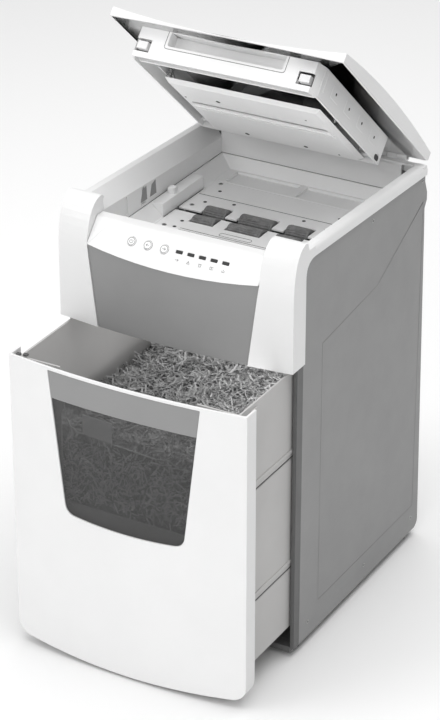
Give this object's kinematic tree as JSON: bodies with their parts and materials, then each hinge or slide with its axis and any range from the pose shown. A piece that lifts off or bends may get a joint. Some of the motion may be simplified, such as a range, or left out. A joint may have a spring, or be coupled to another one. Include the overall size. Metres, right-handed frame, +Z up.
{
  "type": "paper shredder",
  "caption": "Upright office paper shredder: hinged lid over a paper tray with feed rollers, geared cutter unit, and a pull-out waste bin with a window.",
  "frame": {"origin": "on the floor, under the middle of the whole machine as it stands with its lid open and its bin partly out", "axes": "+Z up, -Y towards the user who faces the bin, +X to that user's right"},
  "size_m": [0.38, 0.575, 0.893],
  "materials": {
    "white_plastic": "fine satin grain",
    "light_grey_plastic": "satin",
    "tub_grey_plastic": "satin",
    "mid_grey_plastic": "fine grain",
    "dark_grey_plastic": "satin",
    "dark_painted_steel": "powder coat",
    "smoke_window": "polished, see-through",
    "plated_steel": "plated",
    "cutter_steel": "oiled",
    "black_rubber": "matt",
    "gear_plastic": "self-lubricating plastic",
    "circuit_board": "solder mask",
    "black_plastic": "satin",
    "light_guide": "dark, unlit",
    "paper_shreds": "loose paper"
  },
  "bodies": {
    "cabinet": {"side_panel_right": "mid_grey_plastic", "side_panel_left": "mid_grey_plastic", "rear_panel": "mid_grey_plastic", "mains_inlet": "black_plastic", "base_plate": "dark_painted_steel", "foot_front_left": "black_rubber", "foot_rear_left": "black_rubber", "front_post_left": "dark_painted_steel", "foot_front_right": "black_rubber", "foot_rear_right": "black_rubber", "front_post_right": "dark_painted_steel", "base_front_bar": "dark_painted_steel", "mechanism_shelf": "dark_painted_steel", "top_cover": "white_plastic", "hinge_pin": "plated_steel", "status_light_bar": "light_guide", "control_board": "circuit_board", "control_panel": "white_plastic", "front_fascia": "mid_grey_plastic", "tray_frame": "light_grey_plastic", "tray_floor_front": "light_grey_plastic", "tray_floor_rear": "light_grey_plastic", "paper_guide": "light_grey_plastic", "stripper_comb_front": "dark_grey_plastic", "stripper_comb_rear": "dark_grey_plastic", "cutter_frame_left": "plated_steel", "cutter_frame_right": "plated_steel", "frame_spacer_bar": "plated_steel", "drive_motor": "dark_painted_steel"},
    "lid": {"lid_shell": "white_plastic", "lid_carrier": "light_grey_plastic"},
    "pressure_plate": {"pressure_plate": "light_grey_plastic"},
    "latch_left": {"lid_latch_left": "white_plastic"},
    "latch_right": {"lid_latch_right": "white_plastic"},
    "bin": {"bin_front": "white_plastic", "bin_band": "mid_grey_plastic", "bin_window": "smoke_window", "bin_tub": "tub_grey_plastic", "shred_heap": "paper_shreds"},
    "power_button": {"power_button": "light_grey_plastic"},
    "reverse_button": {"reverse_button": "light_grey_plastic"},
    "forward_button": {"forward_button": "light_grey_plastic"},
    "cutter_rear": {"cutter_shaft_rear": "cutter_steel", "cutter_gear_rear": "plated_steel"},
    "cutter_front": {"cutter_shaft_front": "cutter_steel", "cutter_gear_front": "plated_steel"},
    "feed_rear": {"feed_shaft_rear": "plated_steel", "feed_gear_rear": "gear_plastic", "feed_roller_rear_left": "black_rubber", "feed_roller_rear_centre": "black_rubber", "feed_roller_rear_right": "black_rubber"},
    "feed_front": {"feed_shaft_front": "plated_steel", "feed_gear_front": "gear_plastic", "feed_roller_front_left": "black_rubber", "feed_roller_front_centre": "black_rubber", "feed_roller_front_right": "black_rubber"},
    "idler_rear": {"idler_gear_rear": "gear_plastic"},
    "idler_front": {"idler_gear_front": "gear_plastic"},
    "reduction": {"reduction_gear": "gear_plastic"},
    "motor_rotor": {"motor_pinion": "plated_steel"}
  },
  "joints": [
    {"name": "lid_hinge", "type": "hinge", "parent": "cabinet", "child": "lid", "pos_m": [0, 0.272, 0.633], "axis": [1, 0, 0], "range_deg": [0, 39.7]},
    {"name": "plate_pivot", "type": "hinge", "parent": "lid", "child": "pressure_plate", "pos_m": [0, 0.18219, 0.66748], "axis": [1, 0, 0], "range_deg": [-4, 0], "stiffness_Nm_per_rad": 15, "springref_deg": 3.44},
    {"name": "latch_left_slide", "type": "slide", "parent": "lid", "child": "latch_left", "axis": [0, 0.7466, -0.6652], "range_m": [0, 0.005], "stiffness_N_per_m": 300, "springref_m": -0.003},
    {"name": "latch_right_slide", "type": "slide", "parent": "lid", "child": "latch_right", "axis": [0, 0.7466, -0.6652], "range_m": [0, 0.005], "stiffness_N_per_m": 300, "springref_m": -0.003},
    {"name": "bin_slide", "type": "slide", "parent": "cabinet", "child": "bin", "axis": [0, -1, 0], "range_m": [-0.132, 0.19]},
    {"name": "power_press", "type": "slide", "parent": "cabinet", "child": "power_button", "axis": [0, 0.7806, -0.625], "range_m": [0, 0.0008], "stiffness_N_per_m": 600, "springref_m": -0.0005},
    {"name": "reverse_press", "type": "slide", "parent": "cabinet", "child": "reverse_button", "axis": [0, 0.7806, -0.625], "range_m": [0, 0.0008], "stiffness_N_per_m": 600, "springref_m": -0.0005},
    {"name": "forward_press", "type": "slide", "parent": "cabinet", "child": "forward_button", "axis": [0, 0.7806, -0.625], "range_m": [0, 0.0008], "stiffness_N_per_m": 600, "springref_m": -0.0005},
    {"name": "cutter_rear_spin", "type": "hinge", "parent": "cabinet", "child": "cutter_rear", "pos_m": [0, 0.096, 0.52], "axis": [1, 0, 0], "continuous": true},
    {"name": "cutter_front_spin", "type": "hinge", "parent": "cabinet", "child": "cutter_front", "pos_m": [0, 0.056, 0.52], "axis": [1, 0, 0], "continuous": true},
    {"name": "feed_rear_spin", "type": "hinge", "parent": "cabinet", "child": "feed_rear", "pos_m": [0, 0.094, 0.56], "axis": [1, 0, 0], "continuous": true},
    {"name": "feed_front_spin", "type": "hinge", "parent": "cabinet", "child": "feed_front", "pos_m": [0, 0.058, 0.56], "axis": [1, 0, 0], "continuous": true},
    {"name": "idler_rear_spin", "type": "hinge", "parent": "cabinet", "child": "idler_rear", "pos_m": [0, 0.11387, 0.54654], "axis": [1, 0, 0], "continuous": true},
    {"name": "idler_front_spin", "type": "hinge", "parent": "cabinet", "child": "idler_front", "pos_m": [0, 0.03813, 0.54654], "axis": [1, 0, 0], "continuous": true},
    {"name": "reduction_spin", "type": "hinge", "parent": "cabinet", "child": "reduction", "pos_m": [0, 0.128, 0.52], "axis": [1, 0, 0], "continuous": true},
    {"name": "motor_spin", "type": "hinge", "parent": "cabinet", "child": "motor_rotor", "pos_m": [0, 0.17, 0.52], "axis": [1, 0, 0], "continuous": true}
  ],
  "couplings": [
    {"joint": "cutter_front_spin", "follows": "cutter_rear_spin", "ratio": -1},
    {"joint": "idler_rear_spin", "follows": "cutter_rear_spin", "ratio": -1.6667},
    {"joint": "feed_rear_spin", "follows": "cutter_rear_spin", "ratio": 1.6667},
    {"joint": "idler_front_spin", "follows": "cutter_rear_spin", "ratio": 1.6667},
    {"joint": "feed_front_spin", "follows": "cutter_rear_spin", "ratio": -1.6667},
    {"joint": "reduction_spin", "follows": "cutter_rear_spin", "ratio": -1.6667},
    {"joint": "motor_spin", "follows": "cutter_rear_spin", "ratio": 6.1111}
  ]
}
